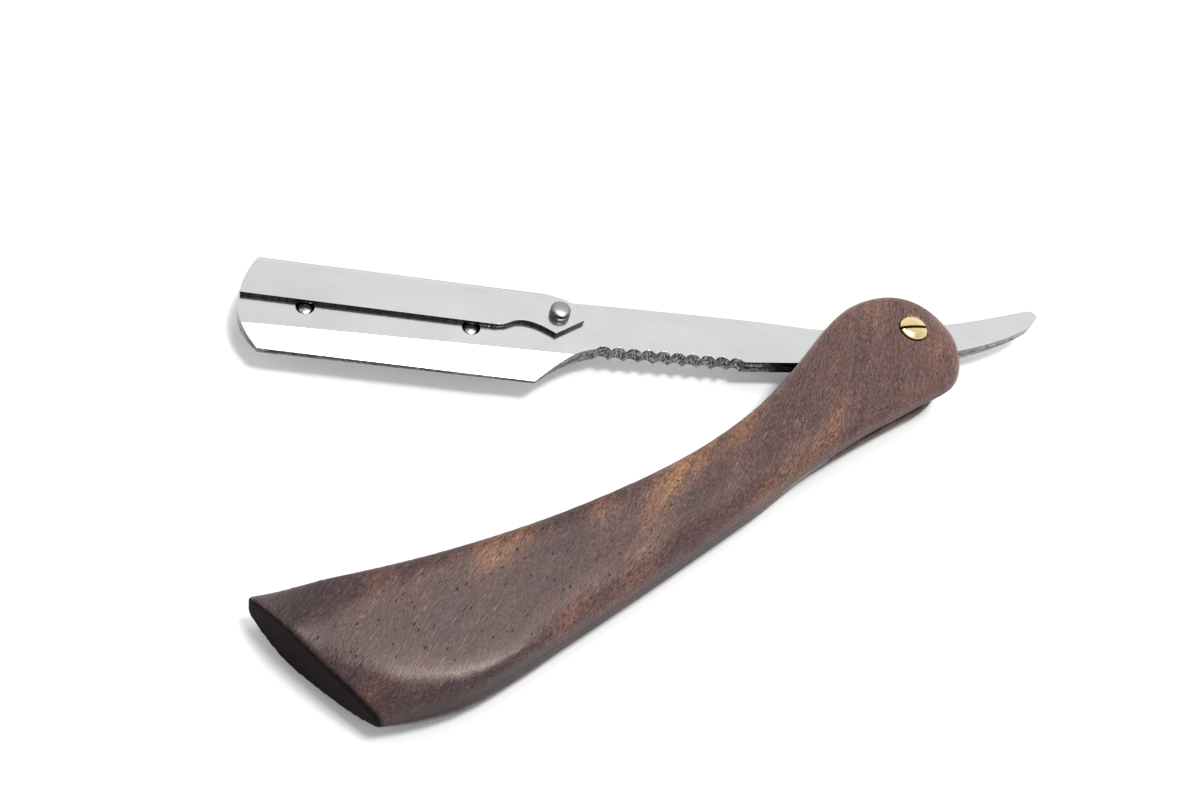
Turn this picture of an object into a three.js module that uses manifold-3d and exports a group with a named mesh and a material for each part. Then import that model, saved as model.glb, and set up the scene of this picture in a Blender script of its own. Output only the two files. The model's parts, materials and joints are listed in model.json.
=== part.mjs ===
// Straight razor with a replaceable half blade: a slotted wooden handle, a steel arm made of two plates
// that hold the blade between them, and a clip that swings on a rivet to lock the plates together.
// Units are millimetres and +Z is up. The razor lies on the handle's back face, partly open.

import * as THREE from 'three';
import { mergeVertices } from 'three/addons/utils/BufferGeometryUtils.js';
import Module from 'manifold-3d';

const wasm = await Module();
wasm.setup();

// ---------------------------------------------------------------- driving dimensions

// Place of the pivot in the part's frame, and how far the arm stands open.
const PIVOT_X = 48.63;
const PIVOT_Y = -26.375;
const ARM_TURN = THREE.MathUtils.degToRad(-35.9);

// Handle
const HANDLE_HALF = 5.6;
const SLOT_HALF_PIVOT = 1.95;
const SLOT_HALF_HEAD = 2.65;
const NOSE_HALF = 3.2;
const NOSE_X = 7.9;

// Pivot hardware
const SLEEVE_RADIUS = 1.75;
const SLEEVE_BORE = 1.25;
const SCREW_RADIUS = 1.1;
const SCREW_HEAD_RADIUS = 2.6;
const COUNTERBORE_RADIUS = 2.8;
const COUNTERBORE_DEPTH = 0.8;
const RUNNING_RADIUS = 1.85;
const SCREW_SLOT_WIDTH = 0.65;
const SCREW_SLOT_TURN = THREE.MathUtils.degToRad(-26);
const WASHER_RADIUS = 3.5;

// Arm
const PLATE_OUTER = 1.45;
const PLATE_INNER = 0.07;
const SPINE_Y = -1.0;
const EDGE_Y = -18.45;
const NOTCH_COUNT = 10;
const NOTCH_PITCH = 2.7;
const NOTCH_DEPTH = 0.8;

// Clip and rivet
const CLIP_INNER = 1.55;
const CLIP_OUTER = 2.35;
const CLIP_INNER_TOP = -0.6;
const CLIP_OUTER_TOP = 0.25;
const CLIP_FOLD_END = -70.4;
const RIVET_X = -65.95;
const RIVET_Y = -4.65;
const RIVET_RADIUS = 1.1;
const RIVET_HEAD_RADIUS = 1.78;

// Blade and its pins
const PIN_X = [-109.2, -81.2];
const PIN_Y = -9.35;
const PIN_RADIUS = 1.2;
const PIN_HOLE_RADIUS = 1.6;
const BLADE_HALF = 0.05;

// ---------------------------------------------------------------- helpers

function toManifold(geometry) {
  const bare = geometry.index ? geometry.toNonIndexed() : geometry.clone();
  bare.deleteAttribute('normal');
  bare.deleteAttribute('uv');
  const merged = mergeVertices(bare, 1e-4);
  return new wasm.Manifold(new wasm.Mesh({
    numProp: 3,
    vertProperties: new Float32Array(merged.attributes.position.array),
    triVerts: new Uint32Array(merged.index.array),
  }));
}

function toMesh(name, solid, material) {
  const data = solid.getMesh();
  const geometry = new THREE.BufferGeometry();
  geometry.setAttribute('position', new THREE.BufferAttribute(new Float32Array(data.vertProperties), 3));
  geometry.setIndex(new THREE.BufferAttribute(new Uint32Array(data.triVerts), 1));
  geometry.computeVertexNormals();
  const mesh = new THREE.Mesh(geometry, material);
  mesh.name = name;
  return mesh;
}

// A plan outline given height from low to high.
function plan(shape, low, high, curveSegments = 12) {
  const geometry = new THREE.ExtrudeGeometry(shape, { depth: high - low, bevelEnabled: false, curveSegments });
  geometry.translate(0, 0, low);
  return toManifold(geometry);
}

function rod(x, y, radius, low, high, sides = 32) {
  const geometry = new THREE.CylinderGeometry(radius, radius, high - low, sides);
  geometry.rotateX(Math.PI / 2);
  geometry.translate(x, y, (low + high) / 2);
  return toManifold(geometry);
}

function block(minX, maxX, minY, maxY, low, high) {
  const geometry = new THREE.BoxGeometry(maxX - minX, maxY - minY, high - low);
  geometry.translate((minX + maxX) / 2, (minY + maxY) / 2, (low + high) / 2);
  return toManifold(geometry);
}

// A turned piece standing on +Z. The profile is a list of [radius, height] from axis to axis, bottom first.
function turned(x, y, profile, sides = 32) {
  const geometry = new THREE.LatheGeometry(profile.map(([r, h]) => new THREE.Vector2(r, h)), sides);
  geometry.rotateX(Math.PI / 2);
  geometry.translate(x, y, 0);
  return toManifold(geometry);
}

// Heights of a shallow dome on a turned profile, from its rim to the axis.
function dome(radius, rimHeight, rise, steps = 5) {
  const points = [];
  for (let i = 1; i <= steps; i += 1) {
    const angle = (i / steps) * Math.PI / 2;
    points.push([radius * Math.cos(angle), rimHeight + rise * Math.sin(angle)]);
  }
  points[steps - 1][0] = 0;
  return points;
}

// ---------------------------------------------------------------- handle

// Distance from the pivot along the handle, and the height of each edge there.
const CONCAVE_EDGE = [
  [-132, 15.3], [-121.5, 10.8], [-105.5, 5.9], [-91, 2.7], [-74.5, 0.5], [-57, -0.4], [-43, 0.6],
  [-32.5, 2.7], [-22.5, 5.9], [-14.2, 8.8], [-6.9, 10.2], [0.2, 9.2], [4.7, 6.4], [7.3, 2.6], [8.1, -0.2],
];
const CONVEX_EDGE = [
  [-132, -8.6], [-121.5, -12.5], [-114.5, -15.1], [-107, -16.5], [-90, -16.0], [-72, -15.1], [-52, -13.8],
  [-43, -13.05], [-35, -12.6], [-22.5, -12.35], [-13, -12.55], [-6.5, -12.85], [-2.0, -13.1], [0.8, -12.2],
  [3.4, -10.2], [5.6, -7.6], [7.3, -4.6], [8.1, -1.2],
];

// Smooth curve through [x, y] points, read at one x.
function curveAt(points, x) {
  let i = 1;
  while (i < points.length - 1 && points[i][0] < x) {
    i += 1;
  }
  const [x0, y0] = points[i - 1];
  const [x1, y1] = points[i];
  const slope = (k) => {
    const a = points[Math.max(k - 1, 0)];
    const b = points[Math.min(k + 1, points.length - 1)];
    return (b[1] - a[1]) / (b[0] - a[0]);
  };
  const span = x1 - x0;
  const t = (x - x0) / span;
  const h1 = t * t * (3 - 2 * t);
  return y0 * (1 - h1) + y1 * h1 + span * t * (1 - t) * ((1 - t) * slope(i - 1) - t * slope(i));
}

// One half of an edge, from the flat face out to the rim. Fullness 2 is an ellipse, 1 a straight bevel.
function edgeRoll(rimY, inward, width, rimHalf, flatHalf, fullness) {
  const points = [];
  const steps = 6;
  for (let i = 0; i <= steps; i += 1) {
    const angle = (i / steps) * Math.PI / 2;
    const run = 1 - Math.cos(angle) ** (2 / fullness);
    const rise = Math.sin(angle) ** (2 / fullness);
    points.push([rimY + inward * width * run, rimHalf + (flatHalf - rimHalf) * rise]);
  }
  return points;
}

// The handle's section at one place: flat faces, edges rolled off towards the rims. The rolls grow long and
// flat towards the butt, and the back cheek's convex rim stands in a little along the pivot end.
function handleSection(x) {
  const { clamp, smoothstep } = THREE.MathUtils;
  const concaveY = curveAt(CONCAVE_EDGE, x);
  const convexY = curveAt(CONVEX_EDGE, x);
  const butt = smoothstep(-x, 96, 128);
  const tip = smoothstep(-x, 116, 129);
  const pivotEnd = smoothstep(x, -60, -15);
  const round = Math.sqrt(1 - clamp((x - 2.5) / (NOSE_X - 2.2), 0, 1) ** 2);
  const flatHalf = NOSE_HALF + (HANDLE_HALF - NOSE_HALF) * round;
  const concaveRim = Math.min(4.3 - 2.6 * tip - 0.2 * pivotEnd, flatHalf - 0.2);
  const convexRim = Math.min(1.9 - 1.3 * butt + 1.5 * pivotEnd, flatHalf - 0.2);
  const room = (concaveY - convexY) * 0.48;
  const concaveWidth = Math.min(3.0 + 5.0 * butt - 0.6 * pivotEnd, room);
  const convexWidth = Math.min(5.5 + 11 * butt - 2.9 * pivotEnd, room * (1 + 0.35 * butt));
  const concave = edgeRoll(concaveY, -1, concaveWidth, concaveRim, flatHalf, 2 - 0.7 * butt);
  const convex = edgeRoll(convexY, 1, convexWidth, convexRim, flatHalf, 2 - 0.75 * butt);
  const inset = (0.9 * smoothstep(x, -50, -32) + 1.2 * smoothstep(x, -6, 0)) * (1 - smoothstep(x, 5, 8));
  return [
    ...concave.toReversed(),
    ...concave.map(([y, z]) => [y, -z]),
    ...convex.toReversed().map(([y, z]) => [y + inset, -z]),
    ...convex,
  ].map(([y, z]) => new THREE.Vector3(x, y, z));
}

// Skin over a row of sections with equal point counts, closed by a flat cap at each end.
function loft(sections) {
  const count = sections[0].length;
  const positions = [];
  const triangle = (a, b, c) => {
    positions.push(a.x, a.y, a.z, b.x, b.y, b.z, c.x, c.y, c.z);
  };
  for (let s = 0; s + 1 < sections.length; s += 1) {
    for (let i = 0; i < count; i += 1) {
      const j = (i + 1) % count;
      triangle(sections[s][i], sections[s + 1][i], sections[s][j]);
      triangle(sections[s][j], sections[s + 1][i], sections[s + 1][j]);
    }
  }
  const cap = (ring, flip) => {
    const middle = ring.reduce((sum, p) => sum.add(p), new THREE.Vector3()).divideScalar(count);
    for (let i = 0; i < count; i += 1) {
      const j = (i + 1) % count;
      if (flip) {
        triangle(middle, ring[i], ring[j]);
      } else {
        triangle(middle, ring[j], ring[i]);
      }
    }
  };
  cap(sections[0], true);
  cap(sections[sections.length - 1], false);
  const geometry = new THREE.BufferGeometry();
  geometry.setAttribute('position', new THREE.Float32BufferAttribute(positions, 3));
  return toManifold(geometry);
}

// Plan of the slot: open along the concave edge and all round the pivot end, with a floor near the other edge.
function slotPlan() {
  const shape = new THREE.Shape();
  shape.moveTo(14, 20);
  shape.lineTo(-122, 20);
  shape.lineTo(-122, -1.5);
  shape.quadraticCurveTo(-122, -6.2, -118.0, -6.8);
  shape.lineTo(-72, -11.45);
  shape.lineTo(-30, -11.85);
  shape.lineTo(-30, -20);
  shape.lineTo(14, -20);
  return shape;
}

// Side profile of the slot, narrow at the pivot and wider where the head and the clip go in.
function slotHeights() {
  const shape = new THREE.Shape();
  shape.moveTo(14, -SLOT_HALF_PIVOT);
  shape.lineTo(14, SLOT_HALF_PIVOT);
  shape.lineTo(-36, SLOT_HALF_PIVOT);
  shape.lineTo(-54, SLOT_HALF_HEAD);
  shape.lineTo(-125, SLOT_HALF_HEAD);
  shape.lineTo(-125, -SLOT_HALF_HEAD);
  shape.lineTo(-54, -SLOT_HALF_HEAD);
  shape.lineTo(-36, -SLOT_HALF_PIVOT);
  const geometry = new THREE.ExtrudeGeometry(shape, { depth: 44, bevelEnabled: false });
  geometry.rotateX(Math.PI / 2);
  geometry.translate(0, 22, 0);
  return toManifold(geometry);
}

// What is sawn off behind the gently domed butt face, with the concave corner rounded.
function buttCut() {
  const shape = new THREE.Shape();
  shape.moveTo(-145, 22);
  shape.lineTo(-145, -22);
  shape.lineTo(-117.5, -22);
  shape.quadraticCurveTo(-124.9, -4.6, -127.5, 11.3);
  shape.quadraticCurveTo(-128.2, 14.3, -126.4, 13.2);
  shape.lineTo(-126.4, 22);
  return plan(shape, -10, 10, 16);
}

function makeHandle() {
  const stations = [];
  for (let x = -131; x < -12; x += 3.5) {
    stations.push(x);
  }
  for (let i = 0; i <= 14; i += 1) {
    stations.push(-12 + (NOSE_X + 12) * Math.sin((i / 14) * Math.PI / 2));
  }
  const body = loft(stations.map(handleSection));
  const slot = plan(slotPlan(), -4, 4).intersect(slotHeights());
  return body
    .subtract(buttCut())
    .subtract(slot)
    .subtract(rod(0, 0, RUNNING_RADIUS, -8, 8))
    .subtract(rod(0, 0, COUNTERBORE_RADIUS, HANDLE_HALF - COUNTERBORE_DEPTH, 8))
    .subtract(rod(0, 0, COUNTERBORE_RADIUS, -8, COUNTERBORE_DEPTH - HANDLE_HALF));
}

// ---------------------------------------------------------------- pivot hardware

function makePivotScrew() {
  const under = HANDLE_HALF - COUNTERBORE_DEPTH;
  const rim = HANDLE_HALF + 0.1;
  const body = turned(0, 0, [
    [0, -3.4], [SCREW_RADIUS - 0.2, -3.4], [SCREW_RADIUS, -3.2], [SCREW_RADIUS, under],
    [SCREW_HEAD_RADIUS - 0.15, under], [SCREW_HEAD_RADIUS, under + 0.15], [SCREW_HEAD_RADIUS, rim],
    ...dome(SCREW_HEAD_RADIUS, rim, 0.4),
  ]);
  const half = SCREW_SLOT_WIDTH / 2;
  const slot = block(-4, 4, -half, half, rim - 0.35, rim + 1);
  return body.subtract(slot.rotate([0, 0, THREE.MathUtils.radToDeg(SCREW_SLOT_TURN)]));
}

function makePivotSleeve() {
  const seat = COUNTERBORE_DEPTH - HANDLE_HALF;
  const low = seat - 0.55;
  const body = turned(0, 0, [
    [0, low], [SCREW_HEAD_RADIUS - 0.2, low], [SCREW_HEAD_RADIUS, low + 0.2], [SCREW_HEAD_RADIUS, seat],
    [SLEEVE_RADIUS, seat], [SLEEVE_RADIUS, HANDLE_HALF - COUNTERBORE_DEPTH - 0.15],
    [0, HANDLE_HALF - COUNTERBORE_DEPTH - 0.15],
  ]);
  return body.subtract(rod(0, 0, SLEEVE_BORE, -3.7, 8));
}

function makeWasher(low) {
  return rod(0, 0, WASHER_RADIUS, low, low + 0.4).subtract(rod(0, 0, RUNNING_RADIUS, low - 1, low + 1));
}

// ---------------------------------------------------------------- arm

// Outline shared by both plates: jaw, heel sweep, serrated shank, pivot and curved tail.
function plateOutline() {
  const shape = new THREE.Shape();
  shape.moveTo(-117.9, SPINE_Y);
  shape.bezierCurveTo(-121.2, -7.6, -121.6, -12.4, -115.9, EDGE_Y);
  shape.lineTo(-69.8, EDGE_Y);
  shape.quadraticCurveTo(-63.4, -11.6, -59.2, -10.75);
  let x = -57.84 - NOTCH_PITCH / 2;
  let y = -10.75;
  const rise = 0.042 * NOTCH_PITCH;
  for (let i = 0; i < NOTCH_COUNT; i += 1) {
    shape.lineTo(x, y);
    shape.quadraticCurveTo(x + NOTCH_PITCH / 2, y + 2 * NOTCH_DEPTH, x + NOTCH_PITCH, y + rise);
    x += NOTCH_PITCH;
    y += rise;
  }
  shape.splineThru([
    new THREE.Vector2(-22.2, -8.25),
    new THREE.Vector2(-11.0, -6.55),
    new THREE.Vector2(0.5, -4.3),
    new THREE.Vector2(11.5, -0.25),
    new THREE.Vector2(20.0, 3.45),
    new THREE.Vector2(26.6, 7.4),
    new THREE.Vector2(29.35, 10.5),
  ]);
  shape.quadraticCurveTo(29.7, 12.2, 27.4, 12.0);
  shape.splineThru([
    new THREE.Vector2(16.5, 7.95),
    new THREE.Vector2(7.5, 5.2),
    new THREE.Vector2(-1.0, 3.4),
    new THREE.Vector2(-9.5, 1.35),
    new THREE.Vector2(-18.0, 0.25),
    new THREE.Vector2(-30.0, 0.25),
    new THREE.Vector2(-50.0, -0.4),
    new THREE.Vector2(-64.0, SPINE_Y),
  ]);
  return shape;
}

// Wedge taken off a jaw's outer face: the ground bevel that thins the plates towards the cutting edge.
function bevelWedge() {
  const shape = new THREE.Shape();
  shape.moveTo(0, 0);
  shape.lineTo(-12, 0);
  shape.lineTo(-12, -2.4);
  const geometry = new THREE.ExtrudeGeometry(shape, { depth: 80, bevelEnabled: false });
  geometry.rotateX(Math.PI / 2);
  geometry.rotateZ(Math.PI / 2);
  geometry.rotateZ(THREE.MathUtils.degToRad(1.65));
  geometry.translate(-123, -14.3, PLATE_OUTER);
  return toManifold(geometry);
}

function plateSolid() {
  return plan(plateOutline(), PLATE_INNER, PLATE_OUTER, 8)
    .subtract(bevelWedge())
    .subtract(rod(0, 0, RUNNING_RADIUS, -1, 3))
    .subtract(rod(RIVET_X, RIVET_Y, RIVET_RADIUS + 0.1, -1, 3, 24));
}

function makeFrontPlate() {
  let plate = plateSolid();
  for (const x of PIN_X) {
    plate = plate.subtract(rod(x, PIN_Y, PIN_HOLE_RADIUS, -1, 3, 28));
  }
  return plate;
}

// The back plate mirrors the front one. Its tail is ground thin towards the tip.
function makeBackPlate() {
  const taper = new THREE.Shape();
  taper.moveTo(8, -PLATE_OUTER);
  taper.lineTo(32, -PLATE_INNER - 0.1);
  taper.lineTo(32, -4);
  taper.lineTo(8, -4);
  const geometry = new THREE.ExtrudeGeometry(taper, { depth: 40, bevelEnabled: false });
  geometry.rotateX(Math.PI / 2);
  geometry.translate(0, 20, 0);
  let plate = plateSolid().mirror([0, 0, 1]).subtract(toManifold(geometry));
  for (const x of PIN_X) {
    plate = plate.subtract(rod(x, PIN_Y, PIN_RADIUS + 0.06, -3, 3, 24));
  }
  return plate;
}

function makePin(x) {
  return turned(x, PIN_Y, [
    [0, -PLATE_OUTER], [PIN_RADIUS, -PLATE_OUTER], [PIN_RADIUS, 0.75], ...dome(PIN_RADIUS, 0.75, 0.3, 3),
  ], 24);
}

// Half of a snapped double-edge blade: a long cutting edge, short end tabs, half notches along the snapped side.
function makeHalfBlade() {
  const middle = (PIN_X[0] + PIN_X[1]) / 2;
  const snapped = PIN_Y + 1.7;
  const edge = EDGE_Y - 0.2;
  const shape = new THREE.Shape();
  shape.moveTo(middle - 21.5, snapped);
  shape.lineTo(middle - 21.5, snapped - 5.2);
  shape.lineTo(middle - 18.9, snapped - 6.4);
  shape.lineTo(middle - 18.9, edge);
  shape.lineTo(middle + 18.9, edge);
  shape.lineTo(middle + 18.9, snapped - 6.4);
  shape.lineTo(middle + 21.5, snapped - 5.2);
  shape.lineTo(middle + 21.5, snapped);
  for (const x of [...PIN_X].reverse()) {
    shape.lineTo(x + 2.4, snapped);
    shape.quadraticCurveTo(x + 2.2, snapped - 3.1, x, snapped - 3.1);
    shape.quadraticCurveTo(x - 2.2, snapped - 3.1, x - 2.4, snapped);
  }
  return plan(shape, -BLADE_HALF, BLADE_HALF, 6);
}

// ---------------------------------------------------------------- clip and rivet

function clipOutline() {
  const shape = new THREE.Shape();
  shape.moveTo(-117.5, 1);
  shape.bezierCurveTo(-119.4, -3.2, -120.1, -5.6, -120.0, -8.55);
  shape.lineTo(-77.0, -8.7);
  shape.bezierCurveTo(-74.9, -8.7, -74.4, -7.05, -72.3, -7.05);
  shape.bezierCurveTo(-70.2, -7.05, -68.6, -7.9, -66.5, -9.1);
  shape.lineTo(-61.5, -5.4);
  shape.lineTo(-62.6, -3.3);
  shape.quadraticCurveTo(-63.6, -1.7, -65.2, -1.1);
  shape.lineTo(-69.6, 0.1);
  shape.lineTo(-69.6, 1);
  return shape;
}

// U section of the sheet, open towards the blade, rounded where it is folded over the spine.
function clipChannel() {
  const round = 1.3;
  const shape = new THREE.Shape();
  shape.moveTo(-12, CLIP_OUTER);
  shape.lineTo(-12, CLIP_INNER);
  shape.lineTo(CLIP_INNER_TOP - 0.5, CLIP_INNER);
  shape.quadraticCurveTo(CLIP_INNER_TOP, CLIP_INNER, CLIP_INNER_TOP, CLIP_INNER - 0.5);
  shape.lineTo(CLIP_INNER_TOP, 0.5 - CLIP_INNER);
  shape.quadraticCurveTo(CLIP_INNER_TOP, -CLIP_INNER, CLIP_INNER_TOP - 0.5, -CLIP_INNER);
  shape.lineTo(-12, -CLIP_INNER);
  shape.lineTo(-12, -CLIP_OUTER);
  shape.absarc(CLIP_OUTER_TOP - round, round - CLIP_OUTER, round, -Math.PI / 2, 0, false);
  shape.absarc(CLIP_OUTER_TOP - round, CLIP_OUTER - round, round, 0, Math.PI / 2, false);
  const geometry = new THREE.ExtrudeGeometry(shape, { depth: 62, bevelEnabled: false, curveSegments: 6 });
  geometry.applyMatrix4(new THREE.Matrix4().makeBasis(
    new THREE.Vector3(0, 1, 0),
    new THREE.Vector3(0, 0, 1),
    new THREE.Vector3(1, 0, 0),
  ));
  geometry.translate(-122, 0, 0);
  return toManifold(geometry);
}

function makeLockingClip() {
  const foldGap = block(CLIP_FOLD_END, -50, -2.2, 3, -CLIP_INNER, CLIP_INNER);
  return clipChannel()
    .intersect(plan(clipOutline(), -4, 4, 10))
    .subtract(foldGap)
    .subtract(rod(RIVET_X, RIVET_Y, RIVET_RADIUS + 0.1, -4, 4, 24));
}

function makeClipRivet() {
  const backSeat = -CLIP_OUTER - 0.08;
  const frontSeat = CLIP_OUTER + 0.62;
  const r = RIVET_HEAD_RADIUS;
  const backDome = dome(r, 0, 0.25, 4).reverse().map(([radius, rise]) => [radius, backSeat - 0.45 - rise]);
  return turned(RIVET_X, RIVET_Y, [
    ...backDome, [r, backSeat - 0.45], [r, backSeat], [RIVET_RADIUS, backSeat], [RIVET_RADIUS, frontSeat],
    [r, frontSeat], [r, frontSeat + 0.7], ...dome(r, frontSeat + 0.7, 0.3, 4),
  ], 28);
}

function makeRivetWasher() {
  const low = CLIP_OUTER + 0.05;
  return rod(RIVET_X, RIVET_Y, RIVET_HEAD_RADIUS + 0.05, low, low + 0.5, 28)
    .subtract(rod(RIVET_X, RIVET_Y, RIVET_RADIUS + 0.1, low - 1, low + 1, 24));
}

// ---------------------------------------------------------------- assembly

const wood = new THREE.MeshStandardMaterial({ color: 0x5d463f, roughness: 0.5, metalness: 0 });
const brass = new THREE.MeshStandardMaterial({ color: 0xd9b25a, roughness: 0.2, metalness: 1 });
const satinSteel = new THREE.MeshStandardMaterial({ color: 0xd3d5d6, roughness: 0.35, metalness: 1 });
const rivetSteel = new THREE.MeshStandardMaterial({ color: 0xb9bcbe, roughness: 0.3, metalness: 1 });
const bladeSteel = new THREE.MeshStandardMaterial({ color: 0x9aa0a4, roughness: 0.15, metalness: 1 });

const handle = new THREE.Group();
handle.add(toMesh('handle', makeHandle(), wood.clone()));
handle.add(toMesh('pivot_screw', makePivotScrew(), brass.clone()));
handle.add(toMesh('pivot_sleeve', makePivotSleeve(), brass.clone()));
handle.add(toMesh('washer_front', makeWasher(PLATE_OUTER + 0.05), brass.clone()));
handle.add(toMesh('washer_back', makeWasher(-PLATE_OUTER - 0.45), brass.clone()));

const arm = new THREE.Group();
arm.rotation.z = ARM_TURN;
arm.add(toMesh('front_plate', makeFrontPlate(), satinSteel.clone()));
arm.add(toMesh('back_plate', makeBackPlate(), satinSteel.clone()));
arm.add(toMesh('half_blade', makeHalfBlade(), bladeSteel.clone()));
arm.add(toMesh('pin_nose', makePin(PIN_X[0]), rivetSteel.clone()));
arm.add(toMesh('pin_heel', makePin(PIN_X[1]), rivetSteel.clone()));
arm.add(toMesh('locking_clip', makeLockingClip(), satinSteel.clone()));
arm.add(toMesh('clip_rivet', makeClipRivet(), rivetSteel.clone()));
arm.add(toMesh('rivet_washer', makeRivetWasher(), rivetSteel.clone()));

const razor = new THREE.Group();
razor.position.set(PIVOT_X, PIVOT_Y, HANDLE_HALF);
razor.add(handle);
razor.add(arm);

export default razor;
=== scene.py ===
import json
from math import cos, exp, radians, sin

import bpy
from mathutils import Matrix, Vector


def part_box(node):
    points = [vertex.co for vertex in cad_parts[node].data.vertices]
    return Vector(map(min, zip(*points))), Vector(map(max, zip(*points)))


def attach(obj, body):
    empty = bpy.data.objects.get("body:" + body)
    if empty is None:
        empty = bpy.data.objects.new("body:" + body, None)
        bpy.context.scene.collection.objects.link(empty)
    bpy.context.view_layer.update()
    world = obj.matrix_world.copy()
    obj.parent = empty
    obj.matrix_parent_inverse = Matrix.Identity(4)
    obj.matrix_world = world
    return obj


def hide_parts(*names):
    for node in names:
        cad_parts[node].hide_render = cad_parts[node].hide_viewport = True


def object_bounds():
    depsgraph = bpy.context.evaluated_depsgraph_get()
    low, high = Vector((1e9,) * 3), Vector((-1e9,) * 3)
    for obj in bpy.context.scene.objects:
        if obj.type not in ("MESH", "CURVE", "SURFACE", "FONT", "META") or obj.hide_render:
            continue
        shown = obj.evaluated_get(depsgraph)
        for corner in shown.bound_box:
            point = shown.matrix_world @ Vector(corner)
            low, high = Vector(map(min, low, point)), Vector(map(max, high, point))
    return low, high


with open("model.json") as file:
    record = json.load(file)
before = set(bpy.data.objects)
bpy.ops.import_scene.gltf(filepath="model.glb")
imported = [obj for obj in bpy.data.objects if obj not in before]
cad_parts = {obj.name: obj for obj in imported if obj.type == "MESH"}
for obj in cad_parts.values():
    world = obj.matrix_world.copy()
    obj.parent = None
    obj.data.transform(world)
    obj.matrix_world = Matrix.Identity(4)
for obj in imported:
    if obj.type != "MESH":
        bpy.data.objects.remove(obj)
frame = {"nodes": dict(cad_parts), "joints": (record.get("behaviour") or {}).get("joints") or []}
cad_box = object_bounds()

MM = 0.001
joint_places = {joint["name"]: Vector(joint["pos_m"]) for joint in frame["joints"]}
pivot = joint_places["arm_fold"]

# The table: a plain white board, painted matt, that the razor lies on. It isn't part of the object, so it
# is staged. Its top is a hair below the handle's back, so that the two faces don't share a plane.
TABLE_SIZE = 6.0
TABLE_GAP = 0.02 * MM
bpy.ops.object.select_all(action="DESELECT")
bpy.ops.mesh.primitive_plane_add(size=TABLE_SIZE, location=(0, 0, cad_box[0][2] - TABLE_GAP))
table = bpy.context.object
table.name = "table"
table_white = bpy.data.materials.new("table_white")
table_white.use_nodes = True
board = table_white.node_tree.nodes["Principled BSDF"]
board.inputs["Base Color"].default_value = (0.83, 0.84, 0.84, 1)
board.inputs["Roughness"].default_value = 0.75
board.inputs["Specular IOR Level"].default_value = 0.15
table.data.materials.append(table_white)


# Handle: one piece of dark rosewood, sawn to a curved outline and slotted from the concave edge. Its faces
# are left flat, its edges are rolled over with a file, and it is sanded and oiled. The solid's skin is
# rebuilt as an even fine mesh, and its arrises are eased as sandpaper eases them.
MERGE_DISTANCE = 0.002 * MM
SKIN_CELL = 0.42 * MM


def cad_copy(node, name):
    """A loose copy of a CAD node's mesh with its doubles merged, active and on its own."""
    piece = bpy.data.objects.new(name, frame["nodes"][node].data.copy())
    piece.data.name = name
    piece.data.materials.clear()
    bpy.context.scene.collection.objects.link(piece)
    bpy.ops.object.select_all(action="DESELECT")
    piece.select_set(True)
    bpy.context.view_layer.objects.active = piece
    bpy.ops.object.mode_set(mode="EDIT")
    bpy.ops.mesh.select_all(action="SELECT")
    bpy.ops.mesh.remove_doubles(threshold=MERGE_DISTANCE)
    bpy.ops.object.mode_set(mode="OBJECT")
    return piece


def apply_modifier(piece, kind, **settings):
    """Adds a modifier with these settings and applies it."""
    modifier = piece.modifiers.new(kind.lower(), kind)
    for key, value in settings.items():
        setattr(modifier, key, value)
    bpy.ops.object.modifier_apply(modifier=modifier.name)


handle = cad_copy("handle", "handle_scales")
apply_modifier(handle, "REMESH", mode="VOXEL", voxel_size=SKIN_CELL, adaptivity=0)
apply_modifier(handle, "SMOOTH", factor=0.5, iterations=5)
bpy.ops.object.shade_smooth()


def fade(value, low, high):
    """0 at low, 1 at high, and smooth between them."""
    t = min(1.0, max(0.0, (value - low) / (high - low)))
    return t * t * (3 - 2 * t)


def from_pivot(vertex):
    """A vertex's place along and across the handle from the pivot, in millimetres."""
    return (vertex.co.x - pivot.x) / MM, (vertex.co.y - pivot.y) / MM


# Towards the butt the file has left the face full and rolled it over late, so that a rounded shoulder runs
# from the butt's corner down to the convex edge.
FACE_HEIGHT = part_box("handle")[1].z - pivot.z
RIM_HEIGHT = 0.6 * MM
SHOULDER = 1.3
for vertex in handle.data.vertices:
    x, y = from_pivot(vertex)
    side = 1 if vertex.co.z > pivot.z else -1
    height = (abs(vertex.co.z - pivot.z) - RIM_HEIGHT) / (FACE_HEIGHT - RIM_HEIGHT)
    lengthwise = fade(-x, 84, 106) * (1 - fade(-x, 116, 127))
    facing_up = fade(side * vertex.normal.z, 0.1, 0.5)
    amount = lengthwise * (1 - fade(y, -4, 5)) * facing_up
    if amount > 0 and 0 < height < 1:
        fuller = 1 - (1 - height) ** (1 + SHOULDER * amount)
        vertex.co.z = pivot.z + side * (RIM_HEIGHT + fuller * (FACE_HEIGHT - RIM_HEIGHT))
apply_modifier(handle, "SMOOTH", factor=0.5, iterations=3)

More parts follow.
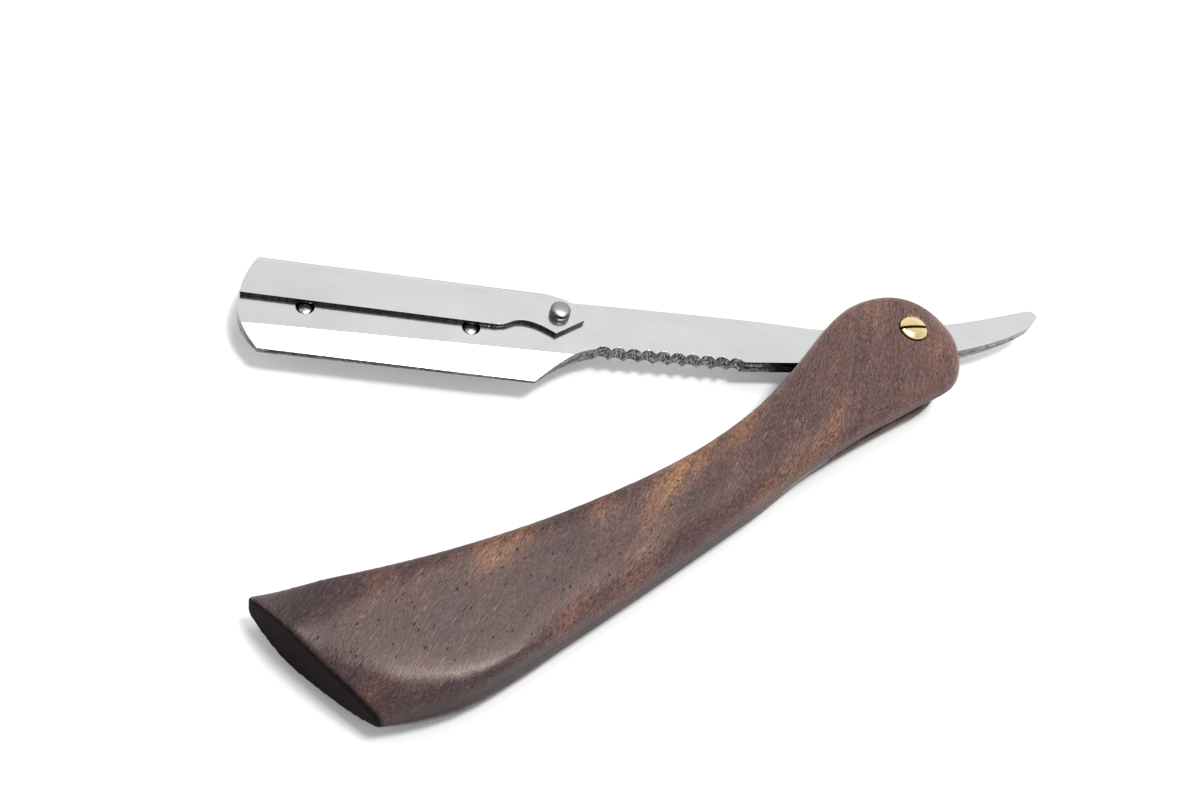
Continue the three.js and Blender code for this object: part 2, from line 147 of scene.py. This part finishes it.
# The heartwood's figure: patches of orange-brown (strength above 0) and of purple-black (below 0). Each
# gives its place along and across the handle from the pivot, half its length along the fibres and half its
# width, all in millimetres, then its strength.
FIGURE = [
    (-95, 0.5, 7, 3, 1.0), (-88, 0, 6, 2, 0.6), (-76, -2, 5, 2.5, 1.0), (-62, -3, 9, 2.5, 1.0),
    (-54, -2, 7, 2.5, 0.8), (-42, -0.5, 8, 2.5, 1.0), (-113, 4, 7, 4, 0.5), (-104, 2, 7, 3, 0.5),
    (-39, -10, 6, 2.5, 0.6), (-49, -13, 6, 2.5, 0.5), (-28, -8, 8, 2, 0.5), (-73, -12, 12, 3, 0.45),
    (-90, -14, 8, 2.5, 0.5), (-121, -9, 6, 3, 0.5), (-112, -14.5, 9, 4, -0.9), (-3, 7, 8, 3, 0.4),
    (1, -5, 6, 4, 0.3), (-88, -6, 13, 4, -0.9), (-41, -5, 8, 3, -1.0), (-122, 4, 8, 5, -0.7),
    (-62, -9, 10, 3, -0.5), (-107, -3, 12, 5, -0.7), (-18, -10, 8, 3, -0.4),
]
FIBRE_TURN = radians(25)
BUTT_DEPTH = 12 * MM
figure = handle.data.attributes.new("figure", "FLOAT", "POINT")
end_grain_and_shade = handle.data.attributes.new("end_grain_and_shade", "FLOAT", "POINT")
butt_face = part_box("handle")[0].x + BUTT_DEPTH
for vertex in handle.data.vertices:
    x, y = from_pivot(vertex)
    warmth = 0.0
    for spot_x, spot_y, length, width, strength in FIGURE:
        along = (x - spot_x) * cos(FIBRE_TURN) + (y - spot_y) * sin(FIBRE_TURN)
        across = (y - spot_y) * cos(FIBRE_TURN) - (x - spot_x) * sin(FIBRE_TURN)
        warmth += strength * exp(-(along / length) ** 2 - (across / width) ** 2)
    figure.data[vertex.index].value = warmth
    # The butt's sawn face is the end grain: it looks back along the handle, away from the lamps, so its mask
    # also carries painted shade.
    facing_out = min(1.0, max(0.0, -vertex.normal.x - 0.35) / 0.40)
    end_grain_and_shade.data[vertex.index].value = facing_out if vertex.co.x < butt_face else 0.0


def shader(name):
    """A new material, its node tree and its Principled shader."""
    material = bpy.data.materials.new(name)
    material.use_nodes = True
    return material, material.node_tree, material.node_tree.nodes["Principled BSDF"]


def step(tree, kind, links=None, **settings):
    """Adds a node: settings are its own properties, and links its inputs, each a value or an output."""
    made = tree.nodes.new("ShaderNode" + kind)
    for key, value in settings.items():
        setattr(made, key, value)
    for key, value in (links or {}).items():
        if isinstance(value, bpy.types.NodeSocket):
            tree.links.new(value, made.inputs[key])
        else:
            made.inputs[key].default_value = value
    return made


def maths(tree, operation, first, second=0.0, clamp=False):
    """One Math node's output."""
    return step(tree, "Math", {0: first, 1: second}, operation=operation, use_clamp=clamp).outputs[0]


def plus(tree, base, value, share):
    """A base with a share of another value added."""
    return maths(tree, "ADD", base, maths(tree, "MULTIPLY", value, share))


def ramp(tree, factor, stops):
    """A value or colour read off a ramp of (place, colour) stops."""
    made = step(tree, "ValToRGB", {0: factor})
    while len(made.color_ramp.elements) < len(stops):
        made.color_ramp.elements.new(0.5)
    for element, (place, colour) in zip(made.color_ramp.elements, stops):
        element.position = place
        element.color = (*colour, 1) if isinstance(colour, tuple) else (colour, colour, colour, 1)
    return made.outputs[0]


def mix_colour(tree, factor, first, second, blend="MIX"):
    """Two colours mixed."""
    made = step(tree, "Mix", data_type="RGBA", blend_type=blend)
    for key, value in ((0, factor), (6, first), (7, second)):
        if isinstance(value, bpy.types.NodeSocket):
            tree.links.new(value, made.inputs[key])
        elif key == 0:
            made.inputs[key].default_value = value
        else:
            made.inputs[key].default_value = (*value, 1)
    return made.outputs[2]


def scaled(tree, vector, scale):
    """A vector stretched by (x, y, z)."""
    return step(tree, "VectorMath", {0: vector, 1: scale}, operation="MULTIPLY").outputs[0]


def noise(tree, vector, scale=1.0, detail=3.0, roughness=0.55, distortion=0.0):
    """Fractal noise at a point."""
    made = step(tree, "TexNoise", {"Vector": vector, "Scale": scale, "Detail": detail,
                                   "Roughness": roughness, "Distortion": distortion})
    return made.outputs[0]


def millimetres(tree, turn=0.0):
    """Object coordinates in millimetres from the pivot, turned about it."""
    place = Matrix.Rotation(turn, 3, "Z") @ (-pivot / MM)
    objects = step(tree, "TexCoord").outputs["Object"]
    return step(tree, "Mapping", {"Vector": objects, "Location": place, "Rotation": (0, 0, turn),
                                  "Scale": (1 / MM, 1 / MM, 1 / MM)}).outputs[0]


# The fibres' slope across the handle, and how they swing further round between the waist and the pivot.
FIBRE_SLOPE = 0.445
WAIST = 60.0
FIBRE_SWING = 4.8e-5
FIBRE_WAVER = 5.0
# The wood's colours, from the darkest heartwood to the lightest, then those of its details and of its
# painted shade.
HEARTWOOD = [
    (0.12, (0.026, 0.016, 0.021)), (0.32, (0.052, 0.028, 0.029)),
    (0.50, (0.088, 0.046, 0.040)), (0.68, (0.155, 0.076, 0.047)), (0.88, (0.26, 0.122, 0.057)),
]
WARM_PATCH = (0.38, 0.175, 0.072)
LIGHT_FLECK = (0.40, 0.22, 0.13)
PORE_DARK = (0.006, 0.004, 0.005)
# Painted shade on the upright sides.
PAINTED_SIDE_SHADE = (0.018, 0.009, 0.010)
# Painted near black on the butt's end grain: partly its own dark colour, partly painted shade.
END_GRAIN_AND_SHADE = (0.006, 0.003, 0.005)
OIL_TINT = (1.0, 0.82, 0.72, 1)


def rosewood():
    """Oiled rosewood: streaks that follow the fibres, open pores, light flecks and warm patches."""
    material, tree, surface = shader("rosewood")
    axes = step(tree, "SeparateXYZ", {0: millimetres(tree)}).outputs
    past_waist = maths(tree, "MAXIMUM", maths(tree, "ADD", axes[0], WAIST), 0.0)
    swing = maths(tree, "MULTIPLY", maths(tree, "POWER", past_waist, 3.0), FIBRE_SWING)
    slope = maths(tree, "MULTIPLY", axes[0], FIBRE_SLOPE)
    across = maths(tree, "SUBTRACT", maths(tree, "SUBTRACT", axes[1], slope), swing)
    fibre = step(tree, "CombineXYZ", {0: axes[0], 1: across, 2: axes[2]}).outputs[0]
    waver = noise(tree, scaled(tree, fibre, (0.045, 0.09, 0.09)), detail=2.0)
    across = plus(tree, across, waver, FIBRE_WAVER)
    fibre = step(tree, "CombineXYZ", {0: axes[0], 1: across, 2: axes[2]}).outputs[0]

    # Noise drawn out along the fibres at five sizes, from cloudy patches to the finest grain.
    warmth = step(tree, "Attribute", attribute_name="figure").outputs["Fac"]
    cloud = noise(tree, scaled(tree, fibre, (0.05, 0.16, 0.16)), detail=4.0, roughness=0.6)
    streak = noise(tree, scaled(tree, fibre, (0.07, 0.9, 0.9)), detail=4.0, roughness=0.65)
    fine = noise(tree, scaled(tree, fibre, (0.5, 5.0, 5.0)), detail=3.0, roughness=0.6)
    grain = noise(tree, scaled(tree, fibre, (1.5, 3.6, 3.6)), detail=3.0, roughness=0.75)
    mottle = noise(tree, scaled(tree, fibre, (0.35, 0.8, 0.8)), detail=4.0, roughness=0.75)

    # The body colour: the butt is the darkest part, and the wood grows lighter towards the pivot.
    body = plus(tree, plus(tree, 0.10, cloud, 0.34), warmth, 0.13)
    body = plus(tree, body, maths(tree, "ADD", axes[0], 88.0), 0.0020)
    body = plus(tree, body, maths(tree, "SUBTRACT", streak, 0.5), 0.30)
    body = plus(tree, body, maths(tree, "SUBTRACT", mottle, 0.42), 0.40)
    colour = ramp(tree, body, HEARTWOOD)
    glow = maths(tree, "MULTIPLY", maths(tree, "ADD", warmth, -0.15, clamp=True),
                 ramp(tree, streak, [(0.34, 0.35), (0.62, 1.0)]))
    colour = mix_colour(tree, maths(tree, "MULTIPLY", glow, 0.42, clamp=True), colour, WARM_PATCH)
    colour = mix_colour(tree, 1.0, colour, ramp(tree, fine, [(0.34, 0.58), (0.66, 1.38)]), "MULTIPLY")
    colour = mix_colour(tree, 1.0, colour, ramp(tree, grain, [(0.36, 0.36), (0.64, 1.75)]), "MULTIPLY")

    # Short light flecks where the fibres dip under the surface.
    fleck_field = noise(tree, scaled(tree, fibre, (0.45, 6.0, 6.0)), detail=1.0, roughness=0.5)
    fleck_area = noise(tree, scaled(tree, fibre, (0.08, 0.12, 0.12)), detail=2.0)
    fleck = maths(tree, "MULTIPLY", ramp(tree, fleck_field, [(0.67, 0.0), (0.74, 1.0)]),
                  ramp(tree, fleck_area, [(0.48, 0.0), (0.66, 1.0)]))
    colour = mix_colour(tree, maths(tree, "MULTIPLY", fleck, 0.55), colour, LIGHT_FLECK)

    # Open pores: short dark dashes along the fibres.
    cells = step(tree, "TexVoronoi", {"Vector": scaled(tree, fibre, (0.55, 1.35, 1.35)), "Scale": 1.0,
                                      "Randomness": 1.0})
    pore_pick = ramp(tree, cells.outputs["Color"], [(0.36, 0.0), (0.41, 1.0)])
    pore_spot = ramp(tree, cells.outputs["Distance"], [(0.08, 1.0), (0.17, 0.0)])
    pore = maths(tree, "MULTIPLY", pore_spot, pore_pick)
    colour = mix_colour(tree, maths(tree, "MULTIPLY", pore, 0.9), colour, PORE_DARK)

    # The sawn edges stand upright and take less polish than the faces; they are painted darker as shade.
    end = step(tree, "Attribute", attribute_name="end_grain_and_shade").outputs["Fac"]
    lift = step(tree, "SeparateXYZ", {0: step(tree, "TexCoord").outputs["Normal"]}).outputs[2]
    side = ramp(tree, maths(tree, "ABSOLUTE", lift), [(0.05, 1.0), (0.5, 0.0)])
    dull = maths(tree, "MAXIMUM", end, side)
    # Painted shade: the upright sides are darkened according to how they face.
    colour = mix_colour(tree, maths(tree, "MULTIPLY", side, 0.55), colour, PAINTED_SIDE_SHADE)
    # The butt's end grain is painted near black: partly its own dark colour, partly painted shade.
    colour = mix_colour(tree, maths(tree, "MULTIPLY", end, 0.96), colour, END_GRAIN_AND_SHADE)
    tree.links.new(colour, surface.inputs["Base Color"])

    rough = plus(tree, maths(tree, "MULTIPLY", fine, 0.16), pore, 0.35)
    rough = plus(tree, rough, end, 0.35)
    tree.links.new(maths(tree, "ADD", rough, 0.24, clamp=True), surface.inputs["Roughness"])
    # The face grain is oiled and has some shine; end grain drinks the oil and stays dull.
    tree.links.new(maths(tree, "SUBTRACT", 0.46, maths(tree, "MULTIPLY", dull, 0.43)),
                   surface.inputs["Specular IOR Level"])
    surface.inputs["Specular Tint"].default_value = OIL_TINT
    relief = maths(tree, "SUBTRACT", maths(tree, "MULTIPLY", fine, 0.5), maths(tree, "MULTIPLY", pore, 2.2))
    relief = plus(tree, relief, grain, 0.4)
    bump = step(tree, "Bump", {"Strength": 0.8, "Distance": 0.00007, "Height": relief})
    tree.links.new(bump.outputs[0], surface.inputs["Normal"])
    return material


handle.data.materials.append(rosewood())
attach(handle, "handle")
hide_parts("handle")


# Pivot: a slotted brass screw from the front, screwed into a brass sleeve whose head sits on the back. The
# arm turns on the sleeve between two thin brass washers. All four are turned, then polished bright.
FLAT_JOIN = radians(0.4)
LEVEL_FACE = 0.95


def dressed(node, name, body, material, width, segments=2, sharp=28, flat_faces=True):
    """A CAD node's copy, flat triangles joined and edges eased by a bevel, width millimetres wide.

    flat_faces keeps the level faces shaded flat, so that the bevels don't bend the light across them.
    """
    piece = cad_copy(node, name)
    bpy.ops.object.mode_set(mode="EDIT")
    bpy.ops.mesh.select_all(action="SELECT")
    bpy.ops.mesh.dissolve_limited(angle_limit=FLAT_JOIN)
    bpy.ops.object.mode_set(mode="OBJECT")
    apply_modifier(piece, "BEVEL", width=width * MM, segments=segments, limit_method="ANGLE",
                   angle_limit=radians(sharp), harden_normals=False, use_clamp_overlap=True)
    bpy.ops.object.shade_smooth_by_angle(angle=radians(sharp))
    if flat_faces:
        for face in piece.data.polygons:
            face.use_smooth = abs(face.normal.z) < LEVEL_FACE
    piece.data.materials.append(material)
    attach(piece, body)
    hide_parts(node)
    return piece


# Near black, painted as shade in recessed brass.
RECESS_SHADE = (0.02, 0.012, 0.008)


def polished_brass(name, shade_below):
    """Yellow brass with hairline scratches and a faint tarnish, painted black below a given height as shade
    in a recess.

    shade_below is that height from the pivot, in millimetres.
    """
    material, tree, surface = shader(name)
    place = millimetres(tree)
    tarnish = noise(tree, scaled(tree, place, (0.9, 0.9, 0.9)), detail=4.0, roughness=0.6)
    metal = ramp(tree, tarnish, [(0.3, (0.88, 0.62, 0.26)), (0.6, (0.98, 0.82, 0.48))])
    height = step(tree, "SeparateXYZ", {0: place}).outputs[2]
    unshaded = maths(tree, "MULTIPLY", maths(tree, "SUBTRACT", height, shade_below), 6.0, clamp=True)
    tree.links.new(mix_colour(tree, unshaded, RECESS_SHADE, metal), surface.inputs["Base Color"])
    hair = noise(tree, scaled(tree, place, (1.5, 24.0, 2.0)), detail=2.0, roughness=0.6)
    tree.links.new(plus(tree, 0.06, hair, 0.14), surface.inputs["Roughness"])
    surface.inputs["Metallic"].default_value = 1.0
    bump = step(tree, "Bump", {"Strength": 0.12, "Distance": 0.00002, "Height": hair})
    tree.links.new(bump.outputs[0], surface.inputs["Normal"])
    return material


# Painted shade: below SLOT_FLOOR the screw's slot is painted black; the sleeve's limit lies below the
# sleeve.
BELOW_THE_SLEEVE = -9.0
SLOT_FLOOR = 5.35
brass = polished_brass("polished_brass", BELOW_THE_SLEEVE)
screw_brass = polished_brass("screw_brass", SLOT_FLOOR)
dressed("pivot_screw", "slotted_screw", "handle", screw_brass, 0.09, segments=3, sharp=30)
dressed("pivot_sleeve", "screw_sleeve", "handle", brass, 0.09, segments=3, sharp=30)
dressed("washer_front", "front_spacer", "handle", brass, 0.05)
dressed("washer_back", "back_spacer", "handle", brass, 0.05)


# Arm: two stainless plates stamped to one outline, jaw, notched shank and tail, with a bevel ground along
# each jaw. They lie face to face and hold the blade between them. Tumbled and satin finished.
ARM_TURN = radians(35.9)


def satin_steel(name, tone=0.84, rough=0.10, streaks=1.0, wall=0.26):
    """Stainless steel with satin grain along the arm, cloudiness, light scratches and sheared edges painted
    dark.

    tone is its brightness, rough its least roughness, streaks how strong the grain is, wall the edges'
    painted dark tone.
    """
    material, tree, surface = shader(name)
    place = millimetres(tree, ARM_TURN)
    cloud = noise(tree, scaled(tree, place, (0.10, 0.22, 0.22)), detail=4.0, roughness=0.6)
    grain = noise(tree, scaled(tree, place, (0.35, 9.0, 9.0)), detail=3.0, roughness=0.65)
    speck = noise(tree, scaled(tree, place, (6.0, 6.0, 6.0)), detail=2.0, roughness=0.7)
    scratch_place = step(tree, "Mapping", {"Vector": place, "Rotation": (0, 0, radians(17)),
                                           "Scale": (0.09, 2.6, 2.6)}).outputs[0]
    scratch = ramp(tree, noise(tree, scratch_place, detail=5.0, roughness=0.8), [(0.64, 0.0), (0.72, 1.0)])
    shade = plus(tree, maths(tree, "MULTIPLY", cloud, 0.10), speck, 0.10)
    low, high = tone - 0.06, tone + 0.06
    metal = ramp(tree, shade, [(0.05, (low, low * 1.005, low * 1.01)), (0.15, (high, high, high * 0.995))])

    # The sheared edges stand upright, torn and rough; they are painted dark as shade, with a thin painted
    # dark line along each bevel.
    upright = step(tree, "TexCoord").outputs["Normal"]
    lift = maths(tree, "ABSOLUTE", step(tree, "SeparateXYZ", {0: upright}).outputs[2])
    edge = ramp(tree, lift, [(0.45, 1.0), (0.93, 0.5), (0.97, 0.0)])
    tear = noise(tree, scaled(tree, place, (3.0, 3.0, 1.2)), detail=3.0, roughness=0.7)
    torn_and_shaded = ramp(tree, tear, [(0.46, (wall * 0.12, wall * 0.12, wall * 0.14)), (0.58, (wall, wall, wall))])
    metal = mix_colour(tree, edge, metal, torn_and_shaded)
    tree.links.new(metal, surface.inputs["Base Color"])
    surface.inputs["Metallic"].default_value = 1.0

    uneven = plus(tree, maths(tree, "MULTIPLY", cloud, 0.06), grain, 0.06 * streaks)
    uneven = plus(tree, plus(tree, uneven, scratch, 0.08), edge, 0.08)
    tree.links.new(maths(tree, "ADD", uneven, rough), surface.inputs["Roughness"])
    relief = plus(tree, maths(tree, "MULTIPLY", grain, 0.6 * streaks), speck, 0.6)
    relief = maths(tree, "SUBTRACT", relief, maths(tree, "MULTIPLY", scratch, 0.25))
    bump = step(tree, "Bump", {"Strength": 0.16, "Distance": 0.00003, "Height": relief})
    tree.links.new(bump.outputs[0], surface.inputs["Normal"])
    return material


plate_steel = satin_steel("plate_steel")
dressed("front_plate", "front_jaw_plate", "arm", plate_steel, 0.10)
dressed("back_plate", "back_jaw_plate", "arm", plate_steel, 0.10)


# Blade and pins: half of a snapped double-edge blade, thin hardened steel, hooked over two pins that are
# riveted into the back plate and reach through the front plate's holes.
blade_steel = satin_steel("blade_steel", tone=0.62, rough=0.14, streaks=0.6)
dressed("half_blade", "snapped_half_blade", "arm", blade_steel, 0.015, segments=1)
pin_steel = satin_steel("pin_steel", tone=0.50, rough=0.22, streaks=0.4, wall=0.22)
rivet_steel = satin_steel("rivet_steel", tone=0.36, rough=0.24, streaks=0.4, wall=0.16)
dressed("pin_nose", "nose_pin", "arm", pin_steel, 0.08)
dressed("pin_heel", "heel_pin", "arm", pin_steel, 0.08)


# Clip: stainless sheet folded over the plates' spine, cut to a point at the rivet that it swings on. The
# rivet is duller steel, with its head domed by a punch over a small washer, and it is fixed in the plates.
# Its edge tone is near black: painted shade along the clip's lower edge.
clip_steel = satin_steel("clip_steel", wall=0.05)
dressed("locking_clip", "folded_clip", "clip", clip_steel, 0.18)
dressed("clip_rivet", "domed_rivet", "arm", rivet_steel, 0.10, segments=3,
        flat_faces=False)
dressed("rivet_washer", "rivet_ring", "arm", rivet_steel, 0.07)


# Light: a white room, bright at its walls and dimmer overhead. A broad soft box nearly overhead gives the
# shadows, and a smaller one beside it gives the shine along the handle's shoulder.
ROOM_GLOW = [(0.0, 1.15), (0.5, 0.92), (0.70, 0.78), (0.80, 0.74), (0.89, 0.48), (1.0, 0.45)]
world = bpy.data.worlds.new("studio")
bpy.context.scene.world = world
world.use_nodes = True
sky = world.node_tree
direction = step(sky, "TexCoord").outputs["Generated"]
height = step(sky, "SeparateXYZ", {0: direction}).outputs[2]
sky.links.new(ramp(sky, height, ROOM_GLOW), sky.nodes["Background"].inputs["Color"])
sky.nodes["Background"].inputs["Strength"].default_value = 1.0


def soft_box(name, place, size, power):
    """A square area light aimed at the razor: place and size in metres, power in watts."""
    lamp = bpy.data.lights.new(name, "AREA")
    lamp.shape = "SQUARE"
    lamp.size = size
    lamp.energy = power
    holder = bpy.data.objects.new(name, lamp)
    bpy.context.scene.collection.objects.link(holder)
    holder.location = place
    holder.rotation_euler = (-Vector(place)).to_track_quat("-Z", "Y").to_euler()


soft_box("key", place=(0.25, 0.15, 0.95), size=0.42, power=3.0)
soft_box("sheen", place=(0.11, -0.20, 0.97), size=0.20, power=6.8)

# Camera: above the butt, looking along the handle, turned a little on its own axis.
VIEW_AZIMUTH = radians(-53.09)
VIEW_ELEVATION = radians(51.85)
VIEW_ROLL = radians(20.27)
VIEW_DISTANCE = 222.73 * MM
LENS = 39.5
SENSOR_WIDTH = 36.0
LOOK_AT = Vector((-60.32, 16.91, 1.45)) * MM
forward = Vector((
    -sin(VIEW_AZIMUTH) * cos(VIEW_ELEVATION),
    cos(VIEW_AZIMUTH) * cos(VIEW_ELEVATION),
    -sin(VIEW_ELEVATION),
))
lens = bpy.data.cameras.new("camera")
lens.lens = LENS
lens.sensor_width = SENSOR_WIDTH
lens.clip_start = 0.01
camera = bpy.data.objects.new("camera", lens)
bpy.context.scene.collection.objects.link(camera)
camera.matrix_world = (
    Matrix.Translation(pivot + LOOK_AT - forward * VIEW_DISTANCE)
    @ forward.to_track_quat("-Z", "Y").to_matrix().to_4x4()
    @ Matrix.Rotation(VIEW_ROLL, 4, "Z")
)
bpy.context.scene.camera = camera
bpy.context.scene.view_settings.view_transform = "Standard"
